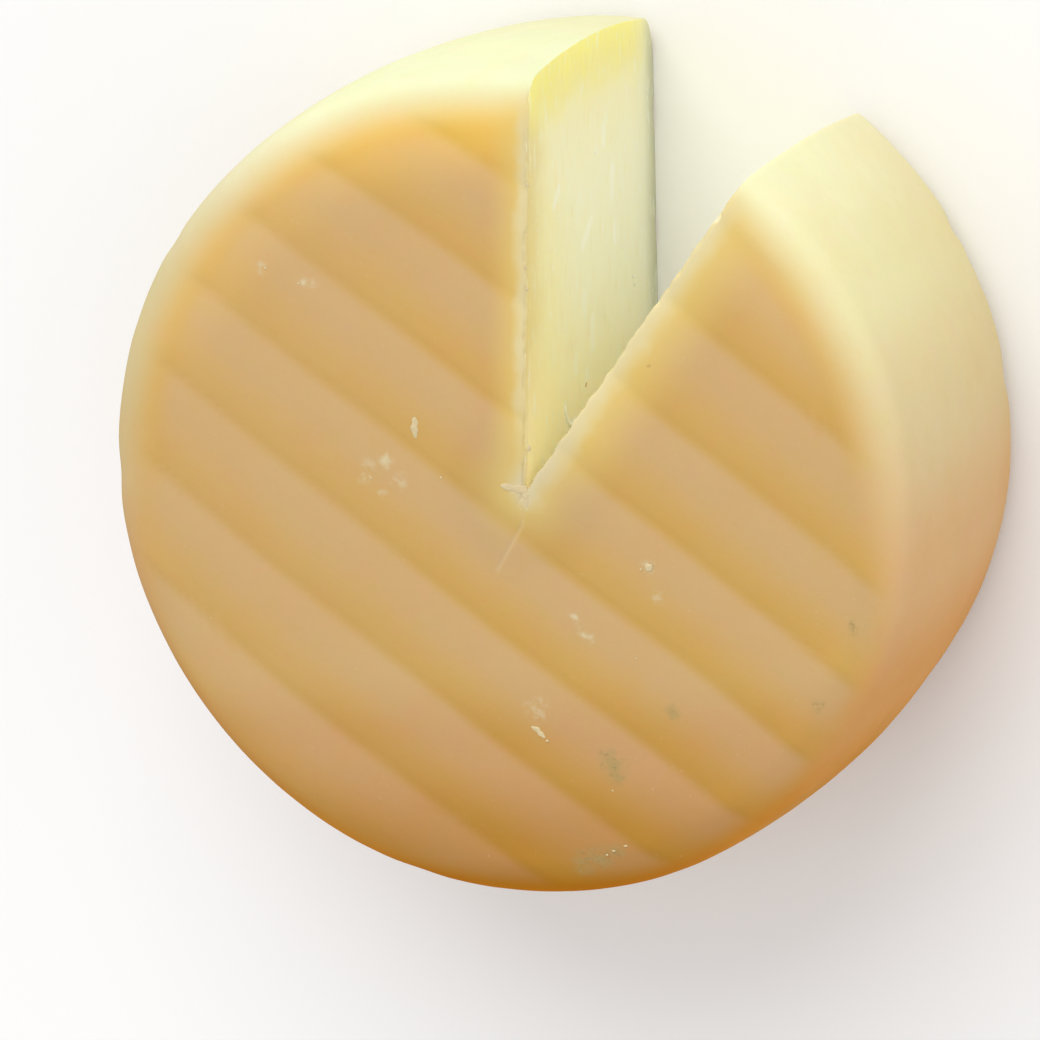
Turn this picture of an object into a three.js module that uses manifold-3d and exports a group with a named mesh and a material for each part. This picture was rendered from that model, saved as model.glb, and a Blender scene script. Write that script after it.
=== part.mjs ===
import * as THREE from 'three';
import Module from 'manifold-3d';

// A wheel of semi-hard cheese lying flat with a narrow wedge cut out of it.
// Millimetres, +Z up, the bottom face on z = 0, the notch opening towards -Y.

// Driving dimensions
const RADIUS = 140;            // mean radius at the middle of the rim
const OVAL = 0.65;             // how far the wheel is out of round, each way
const OVAL_TURN = THREE.MathUtils.degToRad(26.6);  // direction of its longest diameter, from +X
const HEIGHT = 128;            // bottom face to the top of the middle
const DOME = 1.4;              // how much lower the top face is at its edge than in its middle
const RIM_BULGE = 4.8;         // how far the rim swells between its edges and its middle
const CORNER_IN = 26;          // how far in from the rim the edges start to round off
const CORNER_DOWN = 12;        // how far down the rim the rounding reaches
const CORNER_POWER = 3;        // squareness of the rounding, 2 is an ellipse
const TRIM = 0.25;             // the turned body stands this much proud of the ribbed faces
const RIM_STEPS = 96;          // facets around the rim

// The ribs pressed into both faces by the shelf the wheel ripened on
const RIB_PITCH = 31.5;
const RIB_DEPTH = 1.3;
const RIB_TURN = THREE.MathUtils.degToRad(-16.3);  // direction of the grooves, from +X
const RIB_OFFSET = -4.9;       // the groove nearest the middle, across the ribs towards the notch
const RIB_PINCH = 0.07;        // share by which the ribs draw together towards their ends
const RIB_FADE = [27, 11];     // distances from the rim between which the ribs fade out
const RIB_STATIONS = [-0.5, -0.4, -0.22, 0, 0.22, 0.4];
const BOTTOM_LAND = 0.55;      // share of a rib's width that is flattened on the bottom face

// The notch
const APEX = [-9.0, -5.9];     // where its two cuts meet, from the wheel's axis
const CUT_TURN = 17;           // degrees from -Y to each cut at the top face
const CUT_LEAN = 1.7;          // further on the east side at the bottom face, because the knife leant

const wasm = await Module();
wasm.setup();

function solid(points, triangles) {
  return new wasm.Manifold(new wasm.Mesh({
    numProp: 3,
    vertProperties: new Float32Array(points.flat()),
    triVerts: new Uint32Array(triangles.flat()),
  }));
}

// Rounding of an edge: [inwards, along the rim] pairs from the face to the rim.
function corner(steps) {
  const points = [];
  for (let i = 0; i <= steps; i++) {
    const t = (i / steps) ** 1.15 * Math.PI / 2;
    points.push([
      CORNER_IN * (1 - Math.sin(t) ** (2 / CORNER_POWER)),
      CORNER_DOWN * (1 - Math.max(Math.cos(t), 0) ** (2 / CORNER_POWER)),
    ]);
  }
  return points;
}

function rimRadius(z) {
  return RADIUS - RIM_BULGE * (2 * z / HEIGHT - 1) ** 2;
}

function topHeight(r) {
  return HEIGHT - DOME * (r / RADIUS) ** 2;
}

// The turned body: [radius, height] pairs from the bottom's middle to the top's.
function bodyProfile() {
  const points = [];
  for (const [inset, along] of corner(8)) {
    const z = along - TRIM;
    points.push([rimRadius(z) - inset, z]);
  }
  for (let i = 1; i <= 5; i++) {
    const z = CORNER_DOWN + (HEIGHT - 2 * CORNER_DOWN) * i / 6;
    points.push([rimRadius(z), z]);
  }
  for (const [inset, along] of corner(8).reverse()) {
    const z = HEIGHT - along;
    const r = rimRadius(z) - inset;
    points.push([r, topHeight(r) - along + TRIM]);
  }
  const edge = points[points.length - 1][0];
  for (let i = 1; i < 6; i++) {
    const r = edge * (1 - i / 6);
    points.push([r, topHeight(r) + TRIM]);
  }
  return points;
}

function turned(profile, steps) {
  const points = [];
  const triangles = [];
  for (const [r, z] of profile) {
    for (let j = 0; j < steps; j++) {
      const a = j / steps * 2 * Math.PI;
      const oval = r * (1 + OVAL / RADIUS * Math.cos(2 * (a - OVAL_TURN)));
      points.push([oval * Math.cos(a), oval * Math.sin(a), z]);
    }
  }
  const last = profile.length - 1;
  for (let i = 0; i < last; i++) {
    for (let j = 0; j < steps; j++) {
      const k = (j + 1) % steps;
      const [a, b, c, d] = [i * steps + j, i * steps + k, (i + 1) * steps + k, (i + 1) * steps + j];
      triangles.push([a, b, c], [a, c, d]);
    }
  }
  const low = points.push([0, 0, profile[0][1]]) - 1;
  const high = points.push([0, 0, HEIGHT + TRIM]) - 1;
  for (let j = 0; j < steps; j++) {
    const k = (j + 1) % steps;
    triangles.push([low, k, j], [high, last * steps + j, last * steps + k]);
  }
  return solid(points, triangles);
}

// 1 inside the ribbed area and 0 near the rim.
function ribFade(x, y) {
  const t = (RADIUS - Math.hypot(x, y) - RIB_FADE[1]) / (RIB_FADE[0] - RIB_FADE[1]);
  return THREE.MathUtils.smoothstep(t, 0, 1);
}

// Depth of the face below the crest of its rib, u running from one groove to the next as -0.5 to 0.5.
function ribTop(u) {
  return RIB_DEPTH * Math.abs(2 * u) ** 2.2;
}

function ribBottom(u) {
  return RIB_DEPTH * (Math.max(Math.abs(2 * u) - BOTTOM_LAND, 0) / (1 - BOTTOM_LAND)) ** 1.3;
}

// A block wider than the wheel, with the ribs on its top and bottom.
function ribbedBlock() {
  const half = RADIUS + 8;
  const across = [Math.sin(RIB_TURN), -Math.cos(RIB_TURN)];
  const along = [Math.cos(RIB_TURN), Math.sin(RIB_TURN)];
  const rows = [[-half, 0]];
  for (let k = -5; k <= 6; k++) {
    for (const u of RIB_STATIONS) {
      const v = RIB_OFFSET + (k + 0.5 + u) * RIB_PITCH;
      if (Math.abs(v) < half - 1) rows.push([v, u]);
    }
  }
  rows.push([half, 0]);
  const columns = 28;
  const top = [];
  const bottom = [];
  for (const [v, u] of rows) {
    for (let j = 0; j <= columns; j++) {
      const s = (2 * j / columns - 1) * half;
      const pinched = Math.abs(v) === half ? v : v * (1 - RIB_PINCH * (s / RADIUS) ** 2);
      const x = along[0] * s + across[0] * pinched;
      const y = along[1] * s + across[1] * pinched;
      const fade = ribFade(x, y);
      top.push([x, y, topHeight(Math.hypot(x, y)) - ribTop(u) * fade]);
      bottom.push([x, y, ribBottom(u) * fade]);
    }
  }
  const n = columns + 1;
  const points = [...top, ...bottom];
  const low = top.length;
  const triangles = [];
  for (let i = 0; i < rows.length - 1; i++) {
    for (let j = 0; j < columns; j++) {
      const [a, b, c, d] = [i * n + j, i * n + j + 1, (i + 1) * n + j + 1, (i + 1) * n + j];
      triangles.push([a, d, c], [a, c, b]);
      triangles.push([low + a, low + c, low + d], [low + a, low + b, low + c]);
    }
  }
  // the four sides
  const wall = (a, b) => triangles.push([a, b, low + b], [a, low + b, low + a]);
  const end = (rows.length - 1) * n;
  for (let j = 0; j < columns; j++) {
    wall(j, j + 1);
    wall(end + j + 1, end + j);
  }
  for (let i = 0; i < rows.length - 1; i++) {
    wall((i + 1) * n, i * n);
    wall(i * n + columns, (i + 1) * n + columns);
  }
  return solid(points, triangles);
}

// The wedge taken out, from the apex to beyond the rim. Its east side leans.
function wedge() {
  const reach = RADIUS * 1.6;
  const levels = [-10, 0, HEIGHT * 0.25, HEIGHT * 0.5, HEIGHT * 0.75, HEIGHT, HEIGHT + 10];
  const points = [];
  const triangles = [];
  for (const z of levels) {
    const lean = CUT_LEAN * THREE.MathUtils.clamp(1 - z / HEIGHT, 0, 1);
    const east = THREE.MathUtils.degToRad(CUT_TURN + lean);
    const west = THREE.MathUtils.degToRad(CUT_TURN);
    points.push(
      [APEX[0], APEX[1], z],
      [APEX[0] - reach * Math.sin(west), APEX[1] - reach * Math.cos(west), z],
      [APEX[0] + reach * Math.sin(east), APEX[1] - reach * Math.cos(east), z],
    );
  }
  for (let i = 0; i < levels.length - 1; i++) {
    for (let j = 0; j < 3; j++) {
      const [a, b] = [i * 3 + j, i * 3 + (j + 1) % 3];
      triangles.push([a, b, b + 3], [a, b + 3, a + 3]);
    }
  }
  const end = (levels.length - 1) * 3;
  triangles.push([0, 2, 1], [end, end + 1, end + 2]);
  return solid(points, triangles);
}

function geometryOf(body) {
  const mesh = body.getMesh();
  const geometry = new THREE.BufferGeometry();
  geometry.setAttribute('position', new THREE.BufferAttribute(new Float32Array(mesh.vertProperties), 3));
  geometry.setIndex(new THREE.BufferAttribute(new Uint32Array(mesh.triVerts), 1));
  geometry.computeBoundingBox();
  const { min, max } = geometry.boundingBox;
  geometry.translate(-(min.x + max.x) / 2, -(min.y + max.y) / 2, -min.z);
  geometry.computeVertexNormals();
  return geometry;
}

const wheel = turned(bodyProfile(), RIM_STEPS).intersect(ribbedBlock()).subtract(wedge());

const cheese = new THREE.Mesh(
  geometryOf(wheel),
  new THREE.MeshStandardMaterial({ color: 0xd8b07a, roughness: 0.55, metalness: 0 }),
);
cheese.name = 'cheese_wheel';

const part = new THREE.Group();
part.name = 'cheese_wheel_with_notch';
part.add(cheese);

export default part;
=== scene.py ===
"""Looks of a thick cheese wheel with a narrow wedge cut out, lying on its flat face.

Lengths are named in millimetres, as in the part's source, and turned into metres at the end.
"""
import math
import random

import bmesh
import bpy
import numpy as np
from mathutils import Matrix, Vector, noise


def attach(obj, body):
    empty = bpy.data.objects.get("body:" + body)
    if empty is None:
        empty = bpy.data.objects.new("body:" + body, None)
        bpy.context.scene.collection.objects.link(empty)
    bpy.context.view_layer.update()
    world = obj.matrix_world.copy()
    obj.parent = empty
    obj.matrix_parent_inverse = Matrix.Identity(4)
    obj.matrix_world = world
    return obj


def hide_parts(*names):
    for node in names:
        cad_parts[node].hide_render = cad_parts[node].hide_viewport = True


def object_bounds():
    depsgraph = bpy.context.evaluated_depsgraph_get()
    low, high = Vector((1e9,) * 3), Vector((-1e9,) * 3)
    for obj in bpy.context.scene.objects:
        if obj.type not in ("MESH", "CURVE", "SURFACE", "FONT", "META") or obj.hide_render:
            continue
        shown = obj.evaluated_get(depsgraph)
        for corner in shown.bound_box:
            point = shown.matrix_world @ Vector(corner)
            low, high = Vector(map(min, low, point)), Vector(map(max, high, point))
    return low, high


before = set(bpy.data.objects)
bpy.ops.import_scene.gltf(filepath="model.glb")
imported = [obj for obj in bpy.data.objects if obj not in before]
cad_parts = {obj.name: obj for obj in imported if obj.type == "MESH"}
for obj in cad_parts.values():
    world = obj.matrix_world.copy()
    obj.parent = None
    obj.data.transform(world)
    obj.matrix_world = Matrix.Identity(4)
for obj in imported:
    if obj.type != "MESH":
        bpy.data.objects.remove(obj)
CAD_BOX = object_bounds()
MM = 0.001

# Wheel, the same sizes as in the part's source
RADIUS = 140
OVAL = 0.65                        # the radius is this much more or less round the oval
OVAL_TURN = math.radians(26.6)
HEIGHT = 128
DOME = 1.4                         # the top falls off by this much to the rim
RIM_BULGE = 4.8
CORNER_IN = 26                     # the rounding between a face and the rim, inwards and down
CORNER_DOWN = 12
CORNER_POWER = 3
TRIM = 0.25                        # the faces start this much proud, and are pressed flat

# Ribs
RIB_PITCH = 31.5
RIB_DEPTH = 1.3
RIB_TURN = math.radians(-16.3)
RIB_OFFSET = -4.9
RIB_PINCH = 0.07                   # the ribs lie this share closer together at their ends
RIB_FADE = (27, 11)                # full this far in from the rim, and gone this far in
BOTTOM_LAND = 0.55                 # the flat share of each rib on the underside
ALONG = np.array([math.cos(RIB_TURN), math.sin(RIB_TURN)])
ACROSS = np.array([math.sin(RIB_TURN), -math.cos(RIB_TURN)])

# Notch
APEX = np.array([-9.0, -5.9])
CUT_TURN = 17        # degrees from -Y to each cut
CUT_LEAN = 1.7       # degrees that the east cut's foot is turned further
WEST_TURN = math.radians(270 - CUT_TURN)

# The wheel's axis in the frame: its box is centred, and the notch takes a bit off the -Y side
AXIS_Y = CAD_BOX[1][1] / MM - RADIUS - OVAL * math.cos(2 * (math.pi / 2 - OVAL_TURN))

# Mesh steps
FACE_ROWS = 80       # apex to where the edge starts to round off
CORNER_ROWS = 20
RIM_ROWS = 44
ROUND_STEPS = 300    # from one cut to the other
ROUND_LENGTH = 796   # the rim's length from one cut to the other
BESIDE_CUT = [0, 0.5, 1.2, 2.2, 3.6]
EVEN_START = 5.4     # the even steps start this far from a cut


def fade(value, start, end):
    """0 up to the start and 1 from the end on, blended smoothly between."""
    t = np.clip((value - start) / (end - start), 0, 1)
    return t * t * (3 - 2 * t)


def bell(distance, width):
    """1 at no distance, falling off smoothly over the width."""
    return np.exp(-((distance / width) ** 2))


def heading(turn):
    """Level unit vector for an angle from +X."""
    return np.array([math.cos(turn), math.sin(turn)])


def soft_min(a, b, width):
    """The smaller of two heights, with their crossing rounded over."""
    h = np.clip(0.5 + 0.5 * (b - a) / width, 0, 1)
    return b + (a - b) * h - width * h * (1 - h)


def lumps(points, size, seed):
    """Smooth noise between about -1 and 1 at each point, with lumps of the given size in mm."""
    shift = Vector((seed * 17.3, seed * 5.1, seed * 9.7))
    return np.array([noise.noise(Vector(p) / size + shift) for p in points]) * 1.6


# Shape of the wheel

def top_height(r):
    return HEIGHT - DOME * (r / RADIUS) ** 2


def rim_radius(z):
    return RADIUS - RIM_BULGE * (2 * z / HEIGHT - 1) ** 2


def corner_curve():
    """[inwards, along the rim] from the face to the rim."""
    t = np.linspace(0, 1, CORNER_ROWS + 1) ** 1.15 * math.pi / 2
    inwards = CORNER_IN * (1 - np.sin(t) ** (2 / CORNER_POWER))
    along = CORNER_DOWN * (1 - np.maximum(np.cos(t), 0) ** (2 / CORNER_POWER))
    return np.stack([inwards, along], 1)


def turned_profile():
    """(radius, height) down the turned body's outline, from the edge of the top face to the bottom's."""
    rows = []
    for inwards, along in corner_curve():
        z = HEIGHT - along
        r = rim_radius(z) - inwards
        rows.append((r, top_height(r) - along + TRIM))
    for z in np.linspace(HEIGHT - CORNER_DOWN, CORNER_DOWN, RIM_ROWS + 1)[1:-1]:
        rows.append((rim_radius(z), z))
    for inwards, along in corner_curve()[::-1]:
        z = along - TRIM
        rows.append((rim_radius(z) - inwards, z))
    return rows


def rib_place(xy):
    """Place within a rib, from 0 just past a groove to 1 at the next one away from the notch."""
    s = xy @ ALONG
    v = xy @ ACROSS / (1 - RIB_PINCH * (s / RADIUS) ** 2)
    v = v + 0.9 * lumps(np.column_stack([xy, np.zeros(len(xy))]), 55, 3)
    return (-(v - RIB_OFFSET) / RIB_PITCH) % 1


def rib_fade(xy):
    inset = RADIUS - np.hypot(xy[:, 0], xy[:, 1])
    return fade(inset, RIB_FADE[1], RIB_FADE[0])


def top_relief(xy):
    u = rib_place(xy) - 0.5
    return RIB_DEPTH * np.abs(2 * u) ** 2.2 * rib_fade(xy)


def bottom_relief(xy):
    u = rib_place(xy) - 0.5
    t = np.maximum(np.abs(2 * u) - BOTTOM_LAND, 0) / (1 - BOTTOM_LAND)
    return RIB_DEPTH * t ** 1.3 * rib_fade(xy)


def east_turn(z):
    """Direction of the leaning east cut at a height, as an angle from +X."""
    return math.radians(270 + CUT_TURN + CUT_LEAN * min(max(1 - z / HEIGHT, 0), 1))


def directions(z):
    """Directions from the apex around the wheel, closer together beside the two cuts."""
    steps = np.array(BESIDE_CUT) / ROUND_LENGTH
    first = EVEN_START / ROUND_LENGTH
    middle = np.linspace(first, 1 - first, ROUND_STEPS)
    u = np.concatenate([steps, middle, 1 - steps[::-1]])
    start = east_turn(z)
    end = WEST_TURN + 2 * math.pi
    return start + u * (end - start)


def reach(angles, r):
    """Distance from the apex to the oval of mean radius r, for each direction."""
    unit = np.stack([np.cos(angles), np.sin(angles)], 1)
    radius = np.full(len(angles), float(r))
    # the oval's radius depends on the direction from its middle, so a few rounds settle it
    for _ in range(4):
        b = unit @ APEX
        rho = -b + np.sqrt(np.maximum(radius ** 2 - (APEX @ APEX - b * b), 0))
        point = APEX + unit * rho[:, None]
        turn = np.arctan2(point[:, 1], point[:, 0])
        radius = r * (1 + OVAL / RADIUS * np.cos(2 * (turn - OVAL_TURN)))
    return unit, rho


def shell_rows():
    """Rows of points over the top, down the rim and back under the bottom, without the apex points."""
    profile = turned_profile()
    first, last = profile[0][0], profile[-1][0]
    rows = []
    for t in np.linspace(0, 1, FACE_ROWS + 1)[1:-1]:
        unit, rho = reach(directions(HEIGHT), first)
        xy = APEX + unit * (rho * t)[:, None]
        rows.append(np.column_stack([xy, top_height(np.hypot(*xy.T)) + TRIM]))
    for r, z in profile:
        unit, rho = reach(directions(z), r)
        xy = APEX + unit * rho[:, None]
        rows.append(np.column_stack([xy, np.full(len(xy), z)]))
    for t in np.linspace(1, 0, FACE_ROWS + 1)[1:-1]:
        unit, rho = reach(directions(0), last)
        xy = APEX + unit * (rho * t)[:, None]
        rows.append(np.column_stack([xy, np.full(len(xy), -TRIM)]))
    return np.array(rows)


def pressed(points):
    """The turned body's points, with the ribs pressed into both faces."""
    xy = points[:, :2]
    top = top_height(np.hypot(*xy.T)) - top_relief(xy)
    z = soft_min(points[:, 2], top, 0.5)
    z = -soft_min(-z, -bottom_relief(xy), 0.3)
    return np.column_stack([xy, np.maximum(z, 0)])


# Uneven places: [degrees around from +X, height, size, depth]
DENTS = [
    (-131, 8, 5, 1.3),
    (-135.5, 7, 4, 1.1),
    (-139, 6, 4, 0.9),
    (-153, 6, 5, 1.2),
    (-15, 120, 4, 0.9),
    (148, 9, 7, 1.0),
    (60, 8, 6, 1.1),
    (20, 118, 7, 0.8),
    (95, 112, 9, 0.7),
]

# A knife mark that runs on past the apex, from the wheel's axis
OVERCUT = [
    (-9.0, -5.9), (-8.4, -1.9), (-10.6, 2.6), (-11.3, 5.2), (-10.2, 11.0), (-9.0, 17.8), (-8.0, 22.5),
]
OVERCUT_WIDTH = 0.5
OVERCUT_DEPTH = 0.35

# Depth of the rind's broad waves and small pits
WAVE_DEPTH = 0.55
PIT_DEPTH = 0.16
FACE_SHARE = 0.6     # the face is this much as uneven as the rim


def distance_to_path(xy, path):
    best = np.full(len(xy), 1e9)
    for a, b in zip(np.array(path[:-1]), np.array(path[1:])):
        t = np.clip(((xy - a) @ (b - a)) / ((b - a) @ (b - a)), 0, 1)
        best = np.minimum(best, np.hypot(*(xy - a - t[:, None] * (b - a)).T))
    return best


def worn(points):
    """Gentle unevenness, dents and the knife mark, all of them inwards so that the size stays."""
    xy, z = points[:, :2], points[:, 2]
    r = np.hypot(*xy.T)
    upright = fade(r, RADIUS - 14, RADIUS - 5)
    outward = np.column_stack([xy / np.maximum(r, 1)[:, None], np.zeros(len(xy))])
    broad = 0.5 + 0.5 * lumps(points, 42, 1)
    small = 0.5 + 0.5 * lumps(points, 11, 2)
    sunk = WAVE_DEPTH * np.clip(broad, 0, 1) + PIT_DEPTH * np.clip(small, 0, 1)
    move = -outward * (sunk * upright)[:, None]
    for turn, height, size, depth in DENTS:
        centre = [*(heading(math.radians(turn)) * RADIUS * 0.97), height]
        distance = np.linalg.norm(points - centre, axis=1)
        move -= outward * (depth * bell(distance, size))[:, None]
    high = fade(z, HEIGHT / 2, HEIGHT / 2 + 10) * (1 - upright)
    cut = OVERCUT_DEPTH * bell(distance_to_path(xy, OVERCUT), OVERCUT_WIDTH)
    move[:, 2] -= high * (FACE_SHARE * sunk + cut)
    return points + move


def cut_patch(top, side, bottom, inner):
    """A grid of points that fills a cut between its four borders, as (steps inwards, steps down)."""
    a = np.linspace(0, 1, len(top))[:, None, None]
    b = np.linspace(0, 1, len(side))[None, :, None]
    across = (1 - b) * top[:, None] + b * bottom[:, None]
    down = (1 - a) * inner[None] + a * side[None]
    corners = (1 - a) * ((1 - b) * top[0] + b * bottom[0]) + a * ((1 - b) * top[-1] + b * bottom[-1])
    return across + down - corners


class WheelMesh:
    """Collects welded points and faces."""

    def __init__(self):
        self.points = []
        self.faces = []
        self.slots = []

    def add(self, points):
        start = len(self.points)
        self.points.extend(map(tuple, points))
        return np.arange(start, start + len(points))

    def face(self, ring, slot):
        ring = list(dict.fromkeys(int(i) for i in ring))
        if len(ring) > 2:
            self.faces.append(ring)
            self.slots.append(slot)

    def grid(self, index, slot):
        for i in range(len(index) - 1):
            for j in range(len(index[0]) - 1):
                self.face((index[i][j], index[i + 1][j], index[i + 1][j + 1], index[i][j + 1]), slot)


RIND, PASTE, EYE = 0, 1, 2     # material slots of the wheel

# How far in from its borders a cut face follows their ragged edges, on the east and the west cut
RAGGED_REACH = (1.1, 2.6)


def wheel_mesh():
    """The wheel's faces and points: the shell around it first, then the two cuts that close it."""
    rows = shell_rows()
    count, width = rows.shape[:2]
    shell = worn(pressed(rows.reshape(-1, 3)))
    crumbled = edge_crumble(shell)
    made = WheelMesh()
    high = made.add([(*APEX, top_height(math.hypot(*APEX)) - 0.2)])[0]
    low = made.add([(*APEX, 0.0)])[0]
    index = made.add(shell + crumbled).reshape(count, width)
    full = np.vstack([np.full((1, width), high), index, np.full((1, width), low)])
    made.grid(full, RIND)
    # a cut's corners are half way round the wheel's two edges
    turn = FACE_ROWS + CORNER_ROWS // 2
    drop = len(full) - 1 - 2 * turn
    top_point, low_point = made.points[high], made.points[low]
    heights = np.linspace(top_point[2], 0, drop + 1)
    apex_line = [high] + list(made.add([(*APEX, z) for z in heights[1:-1]])) + [low]
    shell, crumbled = shell.reshape(count, width, 3), crumbled.reshape(count, width, 3)
    for column in (0, width - 1):
        plain = np.vstack([[top_point], shell[:, column], [low_point]])
        moves = np.vstack([np.zeros((1, 3)), crumbled[:, column], np.zeros((1, 3))])
        ends = slice(None, turn + 1), slice(turn, turn + drop + 1), slice(None, -turn - 2, -1)
        inner_line = np.array([(*APEX, z) for z in heights])
        patch = cut_patch(plain[ends[0]], plain[ends[1]], plain[ends[2]], inner_line)
        moved = knife_marks(patch, column == 0)
        for border, move in (
            (patch[:, :1], moves[ends[0]][:, None]),
            (patch[-1:], moves[ends[1]][None]),
            (patch[:, -1:], moves[ends[2]][:, None]),
        ):
            near = bell(np.linalg.norm(patch - border, axis=2), RAGGED_REACH[column > 0])
            moved = moved + move * near[..., None]
        cells = np.zeros(patch.shape[:2], int)
        cells[0], cells[-1] = apex_line, full[ends[1], column]
        cells[:, 0], cells[:, -1] = full[ends[0], column], full[ends[2], column]
        cells[1:-1, 1:-1] = made.add(moved[1:-1, 1:-1].reshape(-1, 3)).reshape(len(cells) - 2, -1)
        made.grid(cells, PASTE)
    return made


def cut_distances(points):
    """Distance of each point from the east and the west cut."""
    out = []
    for east in (True, False):
        direction = heading(east_turn(HEIGHT) if east else WEST_TURN)
        normal = np.array([-direction[1], direction[0]])
        from_apex = points[:, :2] - APEX
        reached = from_apex @ direction > -1
        out.append(np.where(reached, np.abs(from_apex @ normal), np.hypot(*from_apex.T)))
    return out


# Level directions from each cut into the cheese
INTO_EAST = (0.956, 0.292)
INTO_WEST = (-0.956, 0.292)
EDGE_ROUNDING = 0.35


def edge_crumble(points):
    """Rounds over the edges of both cuts a little, with small ragged bites in the upper ones."""
    xy, z = points[:, :2], points[:, 2]
    east, west = cut_distances(points)
    away = np.minimum(east, west)
    r = np.hypot(*xy.T)
    outward = xy / np.maximum(r, 1)[:, None]
    inside = fade(r, RADIUS - 4, RADIUS - 12)
    upper = fade(z, HEIGHT * 0.85, HEIGHT * 0.85 + 6) * inside
    lower = fade(z, HEIGHT * 0.1, HEIGHT * 0.1 - 6) * inside
    near = bell(away, 0.9)
    bites = np.clip(lumps(points, 3.4, 7) + 0.3 * lumps(points, 1.5, 8), -1, 1)
    # the west cut tore more along its outer half
    torn = 1 + 1.4 * (west < east) * fade(r, 60, 72) * fade(r, 130, 122)
    side = np.where((east < west)[:, None], [INTO_EAST], [INTO_WEST])
    move = np.zeros_like(points)
    move[:, :2] = side * (upper * near * torn * 0.55 * np.clip(bites + 0.3, 0, 1))[:, None]
    move[:, 2] = -upper * near * 0.35 * np.clip(bites + 0.5, 0, 1)
    rounded = EDGE_ROUNDING * bell(away, 0.6)
    move[:, 2] -= rounded * upper
    move[:, 2] += rounded * lower
    move[:, :2] -= outward * (rounded * (1 - np.maximum(upper, lower)))[:, None]
    return move


def knife_marks(grid, east):
    """Slight waves and fine drag lines across a cut, away from its borders."""
    flat = grid.reshape(-1, 3)
    direction = heading(east_turn(HEIGHT / 2) if east else WEST_TURN)
    normal = np.array([-direction[1], direction[0], 0]) * (1 if east else -1)
    along = flat[:, :2] @ direction
    stretched = np.column_stack([along * 0.12, flat[:, 2], np.full(len(flat), 5.0 if east else 40.0)])
    waves = 0.16 * lumps(flat, 38, 4) + 0.035 * lumps(stretched, 4.5, 5) + 0.03 * lumps(flat, 5, 6)
    steps = [np.minimum(np.arange(n), np.arange(n)[::-1]) for n in grid.shape[:2]]
    border = np.minimum(steps[0][:, None], steps[1][None, :]).ravel()
    return (flat + normal * (waves * fade(border, -1, 3))[:, None]).reshape(grid.shape)


def to_frame(points):
    """Millimetres about the wheel's axis to metres in the frame."""
    return (np.asarray(points) + [0, AXIS_Y, 0]) * MM


def new_piece(mesh, name):
    piece = bpy.data.objects.new(name, mesh)
    bpy.context.scene.collection.objects.link(piece)
    return piece


def piece_from(work, name):
    """A new piece of what was made in a bmesh."""
    mesh = bpy.data.meshes.new(name)
    work.to_mesh(mesh)
    work.free()
    return new_piece(mesh, name)


def make_wheel():
    made = wheel_mesh()
    mesh = bpy.data.meshes.new("cheese_body")
    mesh.from_pydata([tuple(p) for p in to_frame(made.points)], [], made.faces)
    mesh.polygons.foreach_set("material_index", made.slots)
    piece = new_piece(mesh, "cheese_body")
    work = bmesh.new()
    work.from_mesh(mesh)
    bmesh.ops.recalc_face_normals(work, faces=work.faces)
    work.to_mesh(mesh)
    work.free()
    return piece


# Eyes on the west and the east cut: [distance from the apex, height, width]
WEST_EYES = [
    (104, 96, 3.4), (92, 101, 4.4), (80, 95, 5.2), (84, 61, 4.6), (70, 103, 3.2), (66, 92, 4.8),
    (58, 84, 3.0), (52, 104, 3.6), (49, 66, 6.4), (34, 88, 3.0), (37, 44, 2.6), (30, 108, 3.4),
    (41, 72, 2.4), (96, 48, 2.8), (112, 78, 2.6), (74, 34, 3.2), (60, 24, 2.4),
]
EAST_EYES = [(21.5, 71, 1.6)]
EYE_SHAPE = (0.62, 0.42, 0.4)     # half its length, depth and height, each per its width


def eye_cutter():
    """One mesh of all the small hollows that the knife opened."""
    work = bmesh.new()
    dice = random.Random(11)
    for group, turn in ((WEST_EYES, WEST_TURN), (EAST_EYES, east_turn(HEIGHT * 0.6))):
        for along, height, width in group:
            place = Matrix.Translation(to_frame([*(APEX + heading(turn) * along), height]))
            turned = Matrix.Rotation(turn, 4, "Z") @ Matrix.Rotation(dice.uniform(-0.9, 0.9), 4, "Y")
            size = Matrix.Diagonal([part * width * MM for part in EYE_SHAPE] + [1])
            ball = bmesh.ops.create_icosphere(work, subdivisions=3, radius=1)
            for v in ball["verts"]:
                v.co *= 1 + 0.3 * noise.noise(v.co * 1.7 + Vector((along, height, 0)))
                v.co = place @ turned @ size @ v.co
    return piece_from(work, "eye_cutter")


def open_eyes(piece):
    """Cuts the eyes out of the wheel, and gives their walls the eyes' material."""
    cutter = eye_cutter()
    cutter.data.materials.append(piece.data.materials[EYE])
    cut = piece.modifiers.new("eyes", "BOOLEAN")
    cut.object = cutter
    cut.operation = "DIFFERENCE"
    cut.solver = "MANIFOLD"
    cut.material_mode = "TRANSFER"
    result = bpy.data.meshes.new_from_object(piece.evaluated_get(bpy.context.evaluated_depsgraph_get()))
    piece.modifiers.remove(cut)
    old = piece.data
    piece.data = result
    bpy.data.meshes.remove(old)
    bpy.data.objects.remove(cutter)
    result.name = "cheese_body"


ON_CUT = 4     # a cut's own points are nearer to it than this


def dragged(points, east):
    """1 along the middle of each pale drag on the east cut, fading to its sides."""
    on_cut = np.column_stack([np.hypot(*(points[:, :2] - APEX).T), points[:, 2]])
    best = np.zeros(len(points))
    for width, path in DRAGS:
        best = np.maximum(best, bell(distance_to_path(on_cut, path), width))
    return best * (east < ON_CUT)


KEY_LIGHT_SIDE = math.radians(-67.3)     # the wheel's bright side, past the notch


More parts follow.
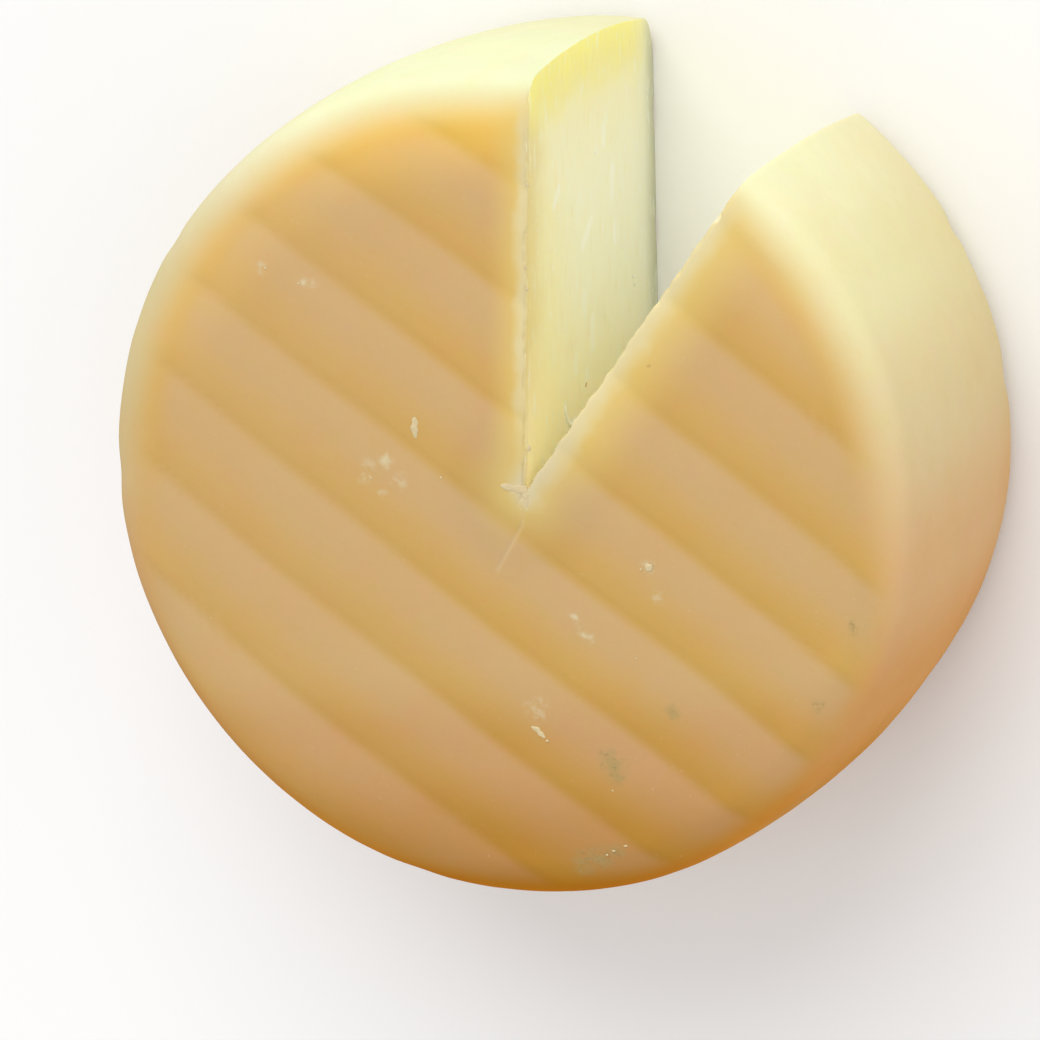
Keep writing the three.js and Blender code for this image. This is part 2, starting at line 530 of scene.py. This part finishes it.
def paint_places(piece):
    """Writes the numbers that the materials read, worked out from each point's place."""
    mesh = piece.data
    flat = np.empty(len(mesh.vertices) * 3)
    mesh.vertices.foreach_get("co", flat)
    points = flat.reshape(-1, 3) / MM - [0, AXIS_Y, 0]
    xy, z = points[:, :2], points[:, 2]
    r = np.hypot(*xy.T)
    toward_key_light = heading(KEY_LIGHT_SIDE)
    sideways = xy @ [-toward_key_light[1], toward_key_light[0]]
    # 0 on the notch's side, where the key light comes from, and 1 across from it; the colours set by it
    # carry painted light and shade
    far = np.clip(0.5 - 0.5 * (xy @ toward_key_light) / RADIUS, 0, 1)
    # each rib is pale beside one groove and ochre beside the next, and paler towards the picture's left
    w = rib_place(xy)
    pale = 0.15 + 0.85 * fade(w, -0.01, 0.13) * fade(w, 0.96, 0.3)
    pale = pale + (1 - pale) * 0.28 * fade(sideways, -10, 75)
    # the ribs' ends run together on the notch's side
    pale = pale * (1 - fade(r, RADIUS - 26, RADIUS - 16) * fade(far, 0.56, 0.36))
    # a thin band along each groove, where the rind is darkened as painted shade in the crease
    groove = bell(((w - 0.02 + 0.5) % 1 - 0.5) * RIB_PITCH, 2)
    # the ribbed face's colours end nearer to the rim on the side across from the notch
    away_side = fade(far, 0.45, 0.70)
    face_edge = RADIUS - 4.5 + 3 * away_side
    facing = fade(r, face_edge, face_edge - (19 - 7 * away_side))
    # near the rim on the key light's side: a paler rind edge, brightened further by painted light
    pale_edge_and_light = fade(r, 97, 119) * fade(far, 0.42, 0.22)
    flat_face = np.maximum(fade(z, HEIGHT - 9, HEIGHT - 4), fade(z, 7, 3))
    east, west = cut_distances(points)
    rim_depth = rim_radius(z) - r
    top_depth = top_height(r) - z
    values = {
        "rib_pale": pale * facing * flat_face,
        "rib_face": facing * flat_face,
        "lit_to_shaded": far,
        "sideways": 0.5 + 0.5 * sideways / RADIUS,
        "pale_edge_and_light": pale_edge_and_light,
        "groove": groove * facing * flat_face,
        "east_away": east,
        "west_away": west,
        "rind_depth": np.minimum(rim_depth, top_depth),
        "top_depth": top_depth,
        "rim_depth": rim_depth,
        "from_apex": np.hypot(*(xy - APEX).T),
        "height": z,
        "drag": dragged(points, east),
        "scratch": bell(distance_to_path(xy, OVERCUT), 0.7) * (z > HEIGHT / 2),
    }
    for name, numbers in values.items():
        layer = mesh.attributes.new(name, "FLOAT", "POINT")
        layer.data.foreach_set("value", numbers.astype(np.float32))


# Crumbs on the face: [x, y, long, wide, high, turn in degrees], x and y in the frame
CRUMBS = [
    (-55.2, -0.1, 2.7, 2.2, 0.6, 20),
    (-53.2, 1.6, 0.9, 0.7, 0.4, 0),
    (-40.6, 69.0, 1.0, 0.8, 0.5, 0),
    (-6.1, -21.6, 2.0, 1.2, 0.8, -72),
    (9.6, -70.6, 1.4, 0.9, 0.6, -73),
    (12.2, -77.2, 1.0, 0.7, 0.5, -73),
    (19.6, -102.3, 1.3, 0.8, 0.5, -73),
    (41.4, 8.4, 0.9, 0.6, 0.25, -20),
    (19.0, -0.7, 0.9, 0.7, 0.3, 50),
    (83.4, -43.2, 0.9, 0.6, 0.25, 15),
    (95.6, -43.8, 1.0, 0.6, 0.25, 5),
    (-72.6, 95.4, 1.2, 0.7, 0.3, 25),
    (-75.8, 92.2, 1.2, 0.7, 0.3, 40),
    (-70.9, 97.6, 0.8, 0.6, 0.3, 0),
    (-66.2, 76.0, 0.7, 0.5, 0.25, 0),
    (-60.4, 30.4, 0.6, 0.5, 0.25, 0),
]

# Slivers on the face: [width, height, points along the middle line in the frame]
SLIVERS = [
    (2.3, 0.35, [(33.0, -16.6), (32.3, -14.4), (31.8, -12.0), (31.0, -9.8)]),
    (2.6, 0.3, [(-1.0, -6.2), (-4.0, -7.0), (-6.4, -7.5), (-9.9, -8.0)]),
    (2.6, 0.28, [(-8.0, -9.4), (-9.4, -7.4), (-10.4, -5.4), (-11.2, -3.2)]),
    (1.7, 0.3, [(-34.2, 66.5), (-36.0, 66.6), (-38.2, 67.7), (-39.5, 68.4)]),
]

# A curl on the east cut: [width, height off the cut, points as distance from the apex and height]
CURL_PATH = [(19.0, 91.0), (15.5, 90.0), (12.6, 87.8), (11.4, 84.8), (12.6, 82.2)]
CURLS = [(1.1, 0.5, CURL_PATH)]

# Pale drags on the east cut: [half width, points as distance from the apex and height]
DRAGS = [
    (1.4, CURL_PATH),
    (1.5, [(75.6, 65.0), (72.0, 69.0), (68.4, 74.0)]),
    (1.2, [(69.0, 42.0), (66.0, 42.4), (63.4, 42.0)]),
    (1.2, [(89.0, 43.6), (84.0, 44.2), (79.0, 44.0)]),
    (1.3, [(92.0, 96.5), (89.5, 98.5), (87.0, 101.0)]),
    (1.4, [(43.0, 64.6), (38.0, 65.2), (32.4, 64.6)]),
    (1.1, [(52.6, 72.0), (48.6, 71.8), (46.4, 72.4)]),
    (1.1, [(33.0, 80.0), (30.0, 80.4), (27.6, 80.0)]),
    (1.1, [(26.0, 70.0), (23.8, 69.6)]),
    (1.1, [(104.0, 52.0), (101.0, 51.6), (98.0, 52.0)]),
]

# Crumbs on the east cut: [distance from the apex, height, long, wide, high]
CUT_CRUMBS = [
    (96.5, 60, 1.8, 1.3, 0.5),
    (93.0, 31, 1.3, 0.9, 0.4),
    (48.0, 24, 1.6, 1.0, 0.5),
    (45.0, 23, 1.2, 0.9, 0.4),
    (60.0, 35, 0.9, 0.6, 0.3),
]


STRIP_RINGS = 21
STRIP_SIDES = 12


def strip(work, middle, up, width, high, seed):
    """A tapered sliver with lumpy sides, lying along a middle line in metres."""
    place = np.array(middle)
    lengths = np.concatenate([[0], np.cumsum(np.linalg.norm(np.diff(place, axis=0), axis=1))])
    steps = np.linspace(0, lengths[-1], STRIP_RINGS)
    line = np.stack([np.interp(steps, lengths, place[:, k]) for k in range(3)], 1)
    for _ in range(3):
        line[1:-1] = (line[:-2] + 2 * line[1:-1] + line[2:]) / 4
    rings = []
    for i, point in enumerate(line):
        t = i / (STRIP_RINGS - 1)
        ahead = Vector(line[min(i + 1, STRIP_RINGS - 1)] - line[max(i - 1, 0)]).normalized()
        side = ahead.cross(up)
        full = math.sin(math.pi * min(max(t, 0.02), 0.98)) ** 0.4
        ring = []
        for k in range(STRIP_SIDES):
            turn = k * 2 * math.pi / STRIP_SIDES
            c, s = math.cos(turn), math.sin(turn)
            rough = 1 + 0.75 * noise.noise(Vector((t * 4 + seed, c * 1.2, s * 0.8)))
            out = side * c * width / 2 + up * s * high
            ring.append(work.verts.new(Vector(point) + out * full * rough * MM))
        rings.append(ring)
    for a, b in zip(rings, rings[1:]):
        for k in range(STRIP_SIDES):
            after = (k + 1) % STRIP_SIDES
            work.faces.new((a[k], b[k], b[after], a[after]))
    work.faces.new(rings[0])
    work.faces.new(rings[-1][::-1])


def lump(work, place, size, seed):
    """A crumb of the given half sizes in mm, at a place."""
    ball = bmesh.ops.create_icosphere(work, subdivisions=3, radius=1)
    for v in ball["verts"]:
        rough = noise.noise(v.co * 1.4 + Vector((seed, 0, 0)))
        rough += 0.5 * noise.noise(v.co * 3.6 + Vector((0, seed, 0)))
        v.co *= 1 + 0.45 * rough
        v.co = place @ Vector([c * s * MM for c, s in zip(v.co, size)])


def surface_height(x, y):
    """Height of the finished top face in mm, for a place in the frame in mm."""
    xy = np.array([[x, y - AXIS_Y]])
    height = top_height(np.hypot(*xy[0])) - top_relief(xy)[0]
    return float(worn(np.array([[*xy[0], height]]))[0, 2])


def on_east_cut(along, height):
    """Place in the frame of a point on the east cut."""
    return to_frame([*(APEX + heading(east_turn(height)) * along), height])


def make_crumbs():
    work = bmesh.new()
    for seed, (x, y, long, wide, high, turn) in enumerate(CRUMBS):
        spot = Vector((x, y, surface_height(x, y) + high * 0.15)) * MM
        place = Matrix.Translation(spot) @ Matrix.Rotation(math.radians(turn), 4, "Z")
        lump(work, place, (long / 2, wide / 2, high / 2), seed * 3.1)
    for seed, (width, high, path) in enumerate(SLIVERS):
        middle = [Vector((x, y, surface_height(x, y))) * MM for x, y in path]
        strip(work, middle, Vector((0, 0, 1)), width, high, seed * 5.3)
    return piece_from(work, "cheese_crumbs")


def make_smears():
    work = bmesh.new()
    for seed, (along, height, long, wide, high) in enumerate(CUT_CRUMBS):
        turned = Matrix.Rotation(east_turn(height), 4, "Z")
        place = Matrix.Translation(on_east_cut(along, height)) @ turned
        lump(work, place, (long / 2, high / 2, wide / 2), 80 + seed * 2.7)
    for seed, (width, high, path) in enumerate(CURLS):
        turn = east_turn(path[-1][1])
        off_cut = Vector((math.sin(turn), -math.cos(turn), 0))
        strip(work, [on_east_cut(*place) for place in path], off_cut, width, high, 60 + seed * 4.1)
    return piece_from(work, "cheese_smears")


# Materials

# Sockets of a colour's Mix node
MIX_FACTOR, MIX_A, MIX_B = 0, 6, 7
MIX_RESULT = 2

# The outlines of the marks on the face wander by up to half of this either way, in lumps of this size
STRAY = 5
STRAY_SIZE = 3.5


class Shades:
    """A material's nodes, each made by one short call that gives back its output socket."""

    def __init__(self, name):
        self.material = bpy.data.materials.new(name)
        self.material.use_nodes = True
        self.tree = self.material.node_tree
        self.tree.nodes.clear()
        output = self.tree.nodes.new("ShaderNodeOutputMaterial")
        self.shader = self.tree.nodes.new("ShaderNodeBsdfPrincipled")
        self.tree.links.new(self.shader.outputs[0], output.inputs["Surface"])
        self.place = self.tree.nodes.new("ShaderNodeTexCoord").outputs["Object"]
        self.strayed = None

    def put(self, socket, value):
        if isinstance(value, bpy.types.NodeSocket):
            self.tree.links.new(value, socket)
        else:
            socket.default_value = value

    def attribute(self, name):
        node = self.tree.nodes.new("ShaderNodeAttribute")
        node.attribute_name = name
        return node.outputs["Fac"]

    def noise(self, size, detail=2.0, roughness=0.5, warp=0.0, stretch=(1, 1, 1)):
        """Noise with lumps of the given size in mm."""
        mapping = self.tree.nodes.new("ShaderNodeMapping")
        mapping.inputs["Scale"].default_value = stretch
        self.put(mapping.inputs["Vector"], self.place)
        node = self.tree.nodes.new("ShaderNodeTexNoise")
        node.inputs["Scale"].default_value = 1 / (size * MM)
        node.inputs["Detail"].default_value = detail
        node.inputs["Roughness"].default_value = roughness
        node.inputs["Distortion"].default_value = warp
        self.put(node.inputs["Vector"], mapping.outputs[0])
        return node.outputs["Fac"]

    def ramp(self, value, low, high, start=0.0, end=1.0):
        node = self.tree.nodes.new("ShaderNodeMapRange")
        node.interpolation_type = "SMOOTHSTEP"
        self.put(node.inputs["Value"], value)
        node.inputs["From Min"].default_value = low
        node.inputs["From Max"].default_value = high
        node.inputs["To Min"].default_value = start
        node.inputs["To Max"].default_value = end
        return node.outputs[0]

    def math(self, operation, a, b=0.0):
        node = self.tree.nodes.new("ShaderNodeMath")
        node.operation = operation
        self.put(node.inputs[0], a)
        self.put(node.inputs[1], b)
        return node.outputs[0]

    def times(self, a, b):
        return self.math("MULTIPLY", a, b)

    def stops(self, value, colours):
        """A row of [place, red, green, blue] colours, blended smoothly from each to the next."""
        node = self.tree.nodes.new("ShaderNodeValToRGB")
        node.color_ramp.interpolation = "EASE"
        elements = node.color_ramp.elements
        while len(elements) < len(colours):
            elements.new(0.5)
        for element, (place, *colour) in zip(elements, colours):
            element.position = place
            element.color = (*colour, 1)
        self.put(node.inputs["Fac"], value)
        return node.outputs["Color"]

    def mix(self, factor, a, b, blend="MIX"):
        node = self.tree.nodes.new("ShaderNodeMix")
        node.data_type = "RGBA"
        node.blend_type = blend
        self.put(node.inputs[MIX_FACTOR], factor)
        self.put(node.inputs[MIX_A], (*a, 1) if isinstance(a, tuple) else a)
        self.put(node.inputs[MIX_B], (*b, 1) if isinstance(b, tuple) else b)
        return node.outputs[MIX_RESULT]

    def tint(self, share, colour, by):
        """A colour multiplied by another, wholly at a share of 1 and not at all at 0."""
        return self.mix(share, colour, by, "MULTIPLY")

    def near(self, spots):
        """1 in the middle of each (x, y, radius) spot in mm on the top face, fading to 0 at its edge."""
        if self.strayed is None:
            stray = self.tree.nodes.new("ShaderNodeTexNoise")
            stray.inputs["Scale"].default_value = 1 / (STRAY_SIZE * MM)
            self.put(stray.inputs["Vector"], self.place)
            moved = self.tree.nodes.new("ShaderNodeVectorMath")
            moved.operation = "MULTIPLY_ADD"
            self.put(moved.inputs[0], stray.outputs["Color"])
            moved.inputs[1].default_value = (STRAY * MM, STRAY * MM, 0)
            self.put(moved.inputs[2], self.place)
            self.strayed = moved.outputs[0]
        best = None
        for x, y, radius in spots:
            node = self.tree.nodes.new("ShaderNodeVectorMath")
            node.operation = "DISTANCE"
            self.put(node.inputs[0], self.strayed)
            # the noise is about a half on average
            middle = Vector((x + STRAY / 2, y + STRAY / 2, HEIGHT - 1))
            node.inputs[1].default_value = middle * MM
            value = self.ramp(node.outputs["Value"], 0.0, radius * MM, 1.0, 0.0)
            best = value if best is None else self.math("MAXIMUM", best, value)
        return best

    def bump(self, heights):
        """Chains (height, strength, distance in mm) layers and links the last to the shader's normal."""
        normal = None
        for height, strength, distance in heights:
            node = self.tree.nodes.new("ShaderNodeBump")
            node.inputs["Strength"].default_value = strength
            node.inputs["Distance"].default_value = distance * MM
            self.put(node.inputs["Height"], height)
            if normal is not None:
                self.put(node.inputs["Normal"], normal)
            normal = node.outputs[0]
        self.put(self.shader.inputs["Normal"], normal)

    def colour(self, value):
        self.put(self.shader.inputs["Base Color"], value)

    def gloss(self, roughness, specular):
        self.put(self.shader.inputs["Roughness"], roughness)
        self.shader.inputs["Specular IOR Level"].default_value = specular

    def waxy(self, weight, radius, scale):
        """Lets a share of the light into the cheese, by colour, with the reach's scale in mm."""
        self.shader.inputs["Subsurface Weight"].default_value = weight
        self.shader.inputs["Subsurface Radius"].default_value = radius
        self.shader.inputs["Subsurface Scale"].default_value = scale * MM
        self.shader.inputs["IOR"].default_value = 1.45


# Marks on the face, in the frame: [x, y, radius]
MOULD = [
    (-63.9, 67.5, 6.5), (-66.4, 71.2, 4.5), (-61.4, 65.3, 4), (-77.3, 42.4, 3.6), (-121.0, 21.8, 3.4),
    (-123.6, -7.4, 3), (-69.0, 99.6, 7), (-64.9, 103.7, 7), (-73.6, 95.7, 4.5),
]
BLOOM = [
    (37.6, 1.4, 3.8), (43.9, 4.8, 4.2), (31.9, 6.2, 4.4), (43.4, 9.4, 3.6), (36.5, 12.2, 3),
    (-37.3, 25.3, 3.4), (-41.1, 28.4, 3.2), (-43.1, 30.1, 3.2), (82.2, -44.3, 3.6), (79.4, -44.7, 3.6),
    (97.3, -43.2, 3.4), (-61.0, 8.1, 3.4), (-33.9, 60.0, 6), (-55.2, -0.1, 3.4),
]
PALE_SPOTS = [
    (38.9, 1.2, 2.8), (-37.3, 25.3, 1.9), (-43.1, 30.1, 2.1), (82.2, -44.3, 1.7), (-10.6, -4.2, 3.0),
    (-5.0, -7.4, 2.4),
]
SPECKS = [(-35.5, -62.4, 1.3), (-73.9, 94.6, 1.2)]

# Colours from the notch's side of the wheel, which the key light comes from, to the side across from it:
# [place, red, green, blue]. They hold the rind's own colour, with painted light on the lit side and
# painted shade, darker and more orange, towards the far side.
RIM_COLOUR_AND_SHADING = [
    (0.03, 0.745, 0.775, 0.50),
    (0.125, 0.765, 0.725, 0.48),
    (0.27, 0.735, 0.655, 0.39),
    (0.43, 0.70, 0.565, 0.315),
    (0.60, 0.69, 0.44, 0.22),
    (0.76, 0.655, 0.34, 0.125),
    (0.89, 0.60, 0.25, 0.038),
    (0.97, 0.49, 0.17, 0.012),
]
# The ribbed face's beige and ochre, by the same distance from the key light's side: [place, red, green,
# blue]. Both darken towards the far side, which is painted shade.
BEIGE_COLOUR_AND_SHADING = [
    (0.05, 0.70, 0.44, 0.15),
    (0.17, 0.575, 0.38, 0.175),
    (0.70, 0.56, 0.372, 0.172),
    (0.80, 0.53, 0.315, 0.14),
    (0.93, 0.45, 0.235, 0.08),
    (0.985, 0.37, 0.165, 0.02),
]
OCHRE_COLOUR_AND_SHADING = [
    (0.05, 0.73, 0.45, 0.085),
    (0.17, 0.615, 0.375, 0.108),
    (0.70, 0.585, 0.355, 0.092),
    (0.80, 0.525, 0.292, 0.06),
    (0.94, 0.43, 0.213, 0.028),
    (0.985, 0.38, 0.165, 0.008),
]

# Blotches a few centimetres across on the rim: [size, noise from, noise to, tint]
RIM_BLOTCHES = [
    (34, 0.40, 0.68, (0.93, 0.89, 0.80)),
    (13, 0.44, 0.70, (1.05, 1.07, 1.12)),
]

# Pink and yellow blotches all over, and finer mottling: [size, noise from, noise to, share, tint]
BLOTCHES = [
    (26, 0.36, 0.68, 0.5, (1.02, 0.965, 0.90)),
    (11, 0.46, 0.72, 0.5, (1.02, 0.965, 1.05)),
    (7, 0.50, 0.74, 0.5, (0.985, 1.015, 0.92)),
    (4, 0.50, 0.72, 0.45, (1.015, 0.98, 0.95)),
    (2.0, 0.52, 0.76, 0.4, (0.965, 0.955, 0.93)),
]

# The rind beside each cut goes yellow and then pale: [distance's name, width, yellow, width, pale]
CUT_BORDERS = [
    ("east_away", 15.0, (0.72, 0.53, 0.165), 5.4, (0.70, 0.60, 0.33)),
    ("west_away", 25.0, (0.755, 0.57, 0.18), 9.0, (0.73, 0.635, 0.36)),
]


def rib_colour(m, far):
    # beige and ochre, darkening away from the key light's side as painted shade
    colour = m.mix(m.attribute("rib_pale"), m.stops(far, OCHRE_COLOUR_AND_SHADING), m.stops(far, BEIGE_COLOUR_AND_SHADING))
    # paler near the rim on the lit side: partly a paler edge, partly painted light
    colour = m.tint(m.attribute("pale_edge_and_light"), colour, (1.13, 1.15, 1.08))
    # painted shade along the grooves
    return m.tint(m.attribute("groove"), colour, (0.925, 0.93, 0.92))


def rim_colour(m, far):
    sideways, height = m.attribute("sideways"), m.attribute("height")
    # the rind's own colour, with painted light on the key light's side and painted shade, darker and
    # more orange, away from it
    colour = m.stops(far, RIM_COLOUR_AND_SHADING)
    # darker towards the picture's left, which is painted shade, and brighter towards its right, which is
    # painted light
    colour = m.tint(m.ramp(sideways, 0.68, 0.92), colour, (0.82, 0.80, 0.76))
    right = m.times(m.ramp(sideways, 0.42, 0.18), m.ramp(far, 0.25, 0.5, 1.0, 0.0))
    colour = m.tint(right, colour, (1.06, 1.11, 1.05))
    # the upright wall across from the notch, a darker orange that is partly painted shade, then the
    # lower part of the rim on the notch's side, a little darker
    wall = m.times(m.ramp(height, 123.0, 109.0), m.ramp(far, 0.75, 0.93))
    colour = m.mix(wall, colour, (0.575, 0.285, 0.078))
    lower = m.times(m.ramp(height, 95.0, 15.0), m.ramp(far, 0.2, 0.45, 1.0, 0.0))
    colour = m.tint(lower, colour, (0.97, 0.925, 0.93))
    shade_side = m.ramp(far, 0.7, 0.95, 0.3, 1.0)
    for size, low, high, by in RIM_BLOTCHES:
        patch = m.ramp(m.noise(size, 3, 0.6, 0.5), low, high, 0.0, 0.7)
        colour = m.tint(m.times(patch, shade_side), colour, by)
    return colour


def face_marks(m, colour):
    """A knife mark, bloom, mould and dirt specks."""
    colour = m.mix(m.times(m.attribute("scratch"), 0.24), colour, (0.72, 0.58, 0.36))
    cloud = m.times(m.near(BLOOM), m.ramp(m.noise(2.6, 3, 0.65), 0.36, 0.68))
    colour = m.mix(m.times(cloud, 0.6), colour, (0.64, 0.56, 0.36))
    colour = m.mix(m.times(m.near(PALE_SPOTS), 0.6), colour, (0.66, 0.59, 0.39))
    mould = m.near(MOULD)
    haze = m.times(mould, m.ramp(m.noise(3.0, 2), 0.26, 0.62))
    colour = m.mix(m.times(haze, 0.65), colour, (0.36, 0.285, 0.12))
    grains = m.times(mould, m.ramp(m.noise(1.1, 2), 0.50, 0.68))
    colour = m.mix(m.times(grains, 0.5), colour, (0.25, 0.21, 0.09))
    colour = m.mix(m.times(m.near(SPECKS), 0.4), colour, (0.27, 0.18, 0.07))
    dots = m.times(m.ramp(m.noise(1.3, 1), 0.70, 0.80), m.ramp(m.noise(18, 2), 0.45, 0.65))
    return m.mix(m.times(dots, 0.16), colour, (0.78, 0.64, 0.42))


def rind_material():
    m = Shades("cheese_rind")
    far, face = m.attribute("lit_to_shaded"), m.attribute("rib_face")
    colour = m.mix(face, rim_colour(m, far), rib_colour(m, far))
    for size, low, high, share, by in BLOTCHES:
        patch = m.ramp(m.noise(size, 3, 0.6, 0.4), low, high)
        colour = m.tint(m.times(patch, share), colour, by)
    drift = m.ramp(m.noise(8, 2), 0.2, 0.8, -1.2, 1.2)
    for name, yellow_width, yellow, pale_width, pale in CUT_BORDERS:
        away = m.attribute(name)
        colour = m.mix(m.times(m.ramp(away, 0.0, yellow_width, 0.85, 0.0), face), colour, yellow)
        away = m.math("ADD", away, drift)
        colour = m.mix(m.times(m.ramp(away, 0.8, pale_width, 0.9, 0.0), face), colour, pale)
    around = m.ramp(m.attribute("from_apex"), 6.0, 34.0, 1.0, 0.0)
    colour = m.tint(m.times(around, face), colour, (0.87, 0.87, 0.98))
    m.colour(face_marks(m, colour))
    m.gloss(0.57, 0.0)
    m.bump([
        (m.noise(7, 2, 0.55), 0.22, 0.5),
        (m.noise(1.2, 3, 0.6), 0.22, 0.12),
    ])
    return m.material


def paste_material():
    m = Shades("cheese_paste")
    drift = m.ramp(m.noise(14, 2), 0.2, 0.8, -2.5, 2.5)
    depth = m.math("ADD", m.attribute("rind_depth"), drift)
    rim_depth = m.math("ADD", m.attribute("rim_depth"), drift)
    height = m.attribute("height")
    colour = m.mix(m.ramp(depth, 2.0, 22), (0.81, 0.68, 0.295), (0.93, 0.87, 0.53))
    colour = m.mix(m.ramp(depth, 12, 54), colour, (0.93, 0.92, 0.72))
    # yellower towards the outside, and paler and warmer where the notch closes in, which is painted
    # light that lifts the shade deep in the notch
    on_west = m.ramp(m.attribute("west_away"), 1.0, 5.0, 1.0, 0.0)
    outer = m.mix(on_west, (0.99, 0.90, 0.255), (0.90, 0.84, 0.52))
    colour = m.mix(m.ramp(rim_depth, 3, 27, 0.95, 0.0), colour, outer)
    colour = m.mix(m.ramp(m.attribute("from_apex"), 6, 60, 0.9, 0.0), colour, (0.99, 0.90, 0.58))
    # darker and greyer along the foot, which is painted shade where the cut meets the floor, and duller
    # under the top rind
    colour = m.mix(m.ramp(height, 6.0, 26.0, 0.5, 0.0), colour, (0.80, 0.82, 0.66))
    colour = m.mix(m.ramp(height, 0.0, 13.0, 0.88, 0.0), colour, (0.53, 0.545, 0.37))
    colour = m.mix(m.ramp(m.attribute("top_depth"), 0.6, 4.5, 0.9, 0.0), colour, (0.75, 0.63, 0.325))
    # the knife's lines, flecks and drags
    streak = m.noise(2.6, 3, 0.6, 0.0, (0.2, 0.2, 1.0))
    colour = m.mix(m.ramp(streak, 0.54, 0.74, 0.0, 0.5), colour, (0.93, 0.96, 0.83))
    colour = m.mix(m.ramp(streak, 0.46, 0.28, 0.0, 0.34), colour, (0.86, 0.77, 0.46))
    flecks = m.ramp(m.noise(1.4, 1, 0.5, 0.0, (0.3, 0.3, 1.0)), 0.70, 0.79, 0.0, 0.6)
    colour = m.mix(flecks, colour, (0.95, 0.97, 0.88))
    colour = m.mix(m.times(m.attribute("drag"), 0.85), colour, (0.97, 0.99, 0.90))
    m.colour(colour)
    m.waxy(0.35, (1.0, 0.75, 0.35), 6)
    m.gloss(m.ramp(m.noise(9, 3), 0.3, 0.7, 0.36, 0.5), 0.4)
    m.bump([
        (streak, 0.25, 0.25),
        (m.noise(1.3, 3, 0.6), 0.22, 0.15),
        (m.noise(0.4, 2, 0.5), 0.12, 0.04),
    ])
    return m.material


def eye_material():
    m = Shades("cheese_eye")
    m.colour(m.mix(m.noise(1.2, 2), (0.72, 0.52, 0.19), (0.84, 0.68, 0.33)))
    m.waxy(0.3, (1.0, 0.6, 0.25), 4)
    m.gloss(0.3, 0.5)
    m.bump([(m.noise(0.6, 2), 0.2, 0.08)])
    return m.material


def crumb_material():
    m = Shades("cheese_crumb")
    m.colour(m.mix(m.noise(1.2, 2), (0.62, 0.49, 0.27), (0.67, 0.56, 0.34)))
    m.gloss(0.5, 0.15)
    m.bump([(m.noise(0.35, 3, 0.6), 0.3, 0.08)])
    return m.material


def smear_material():
    m = Shades("cheese_smear")
    m.colour(m.mix(m.noise(1.5, 2), (0.93, 0.94, 0.80), (0.95, 0.97, 0.88)))
    m.gloss(0.5, 0.15)
    m.bump([(m.noise(0.5, 3, 0.6), 0.2, 0.05)])
    return m.material


def floor_material():
    m = Shades("studio_floor")
    m.colour((0.90, 0.90, 0.905, 1))
    m.gloss(0.85, 0.2)
    return m.material


# Studio

CAMERA_AT = Vector((-435.5, -586.0, 1625.4)) * MM
CAMERA_AIM = Vector((-10.5, 1.9, 128.0)) * MM
CAMERA_ROLL = math.radians(-124.19)
IMAGE_SIDE = 1040
FOCAL_PIXELS = 5224.3      # focal length in pixels of the photograph
SENSOR = 36
IMAGE_UP = Vector((0.386, -0.9225, 0))   # the level direction that points up in the picture
KEY_LEVEL = 0.48           # what the key light gives a white surface that faces it
KEY_RISE = 0.75            # how steeply it comes down: its height over its level distance
KEY_ANGLE = math.radians(50)
WORLD_LEVEL = 0.82
FLOOR_HALF = 4             # metres
FLOOR_DROP = 0.0002        # metres, so that the floor and the wheel's foot don't share a plane
SMOOTH_ANGLE = math.radians(40)


def make_camera():
    data = bpy.data.cameras.new("camera")
    data.sensor_width = SENSOR
    data.lens = FOCAL_PIXELS / IMAGE_SIDE * SENSOR
    data.clip_end = 30
    camera = bpy.data.objects.new("camera", data)
    camera.location = CAMERA_AT
    turn = (CAMERA_AIM - CAMERA_AT).to_track_quat("-Z", "Y").to_matrix().to_4x4()
    camera.matrix_world = Matrix.Translation(CAMERA_AT) @ turn @ Matrix.Rotation(CAMERA_ROLL, 4, "Z")
    bpy.context.scene.collection.objects.link(camera)
    bpy.context.scene.camera = camera


def make_floor():
    work = bmesh.new()
    bmesh.ops.create_grid(work, x_segments=8, y_segments=8, size=FLOOR_HALF)
    floor = piece_from(work, "floor")
    floor.location.z = -FLOOR_DROP
    floor.data.materials.append(floor_material())


def make_lights():
    """A broad soft sun from the notch's side, and an even white surround."""
    data = bpy.data.lights.new("key", "SUN")
    data.angle = KEY_ANGLE
    data.energy = KEY_LEVEL * math.pi
    data.color = (1.0, 0.99, 0.965)
    light = bpy.data.objects.new("key", data)
    toward = IMAGE_UP + Vector((0, 0, KEY_RISE))
    light.matrix_world = Matrix.Translation(toward) @ toward.to_track_quat("Z", "Y").to_matrix().to_4x4()
    bpy.context.scene.collection.objects.link(light)
    world = bpy.data.worlds.new("studio")
    world.use_nodes = True
    background = world.node_tree.nodes["Background"]
    background.inputs["Color"].default_value = (1.0, 1.0, 1.0, 1)
    background.inputs["Strength"].default_value = WORLD_LEVEL
    bpy.context.scene.world = world
    bpy.context.scene.view_settings.view_transform = "Standard"


def finish_piece(piece):
    piece.data.set_sharp_from_angle(angle=SMOOTH_ANGLE)
    piece.data.polygons.foreach_set("use_smooth", [True] * len(piece.data.polygons))
    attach(piece, "root")


wheel = make_wheel()
for material in (rind_material(), paste_material(), eye_material()):
    wheel.data.materials.append(material)
open_eyes(wheel)
paint_places(wheel)
finish_piece(wheel)
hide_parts("cheese_wheel")

crumbs = make_crumbs()
crumbs.data.materials.append(crumb_material())
finish_piece(crumbs)

smears = make_smears()
smears.data.materials.append(smear_material())
finish_piece(smears)

make_floor()
make_lights()
make_camera()
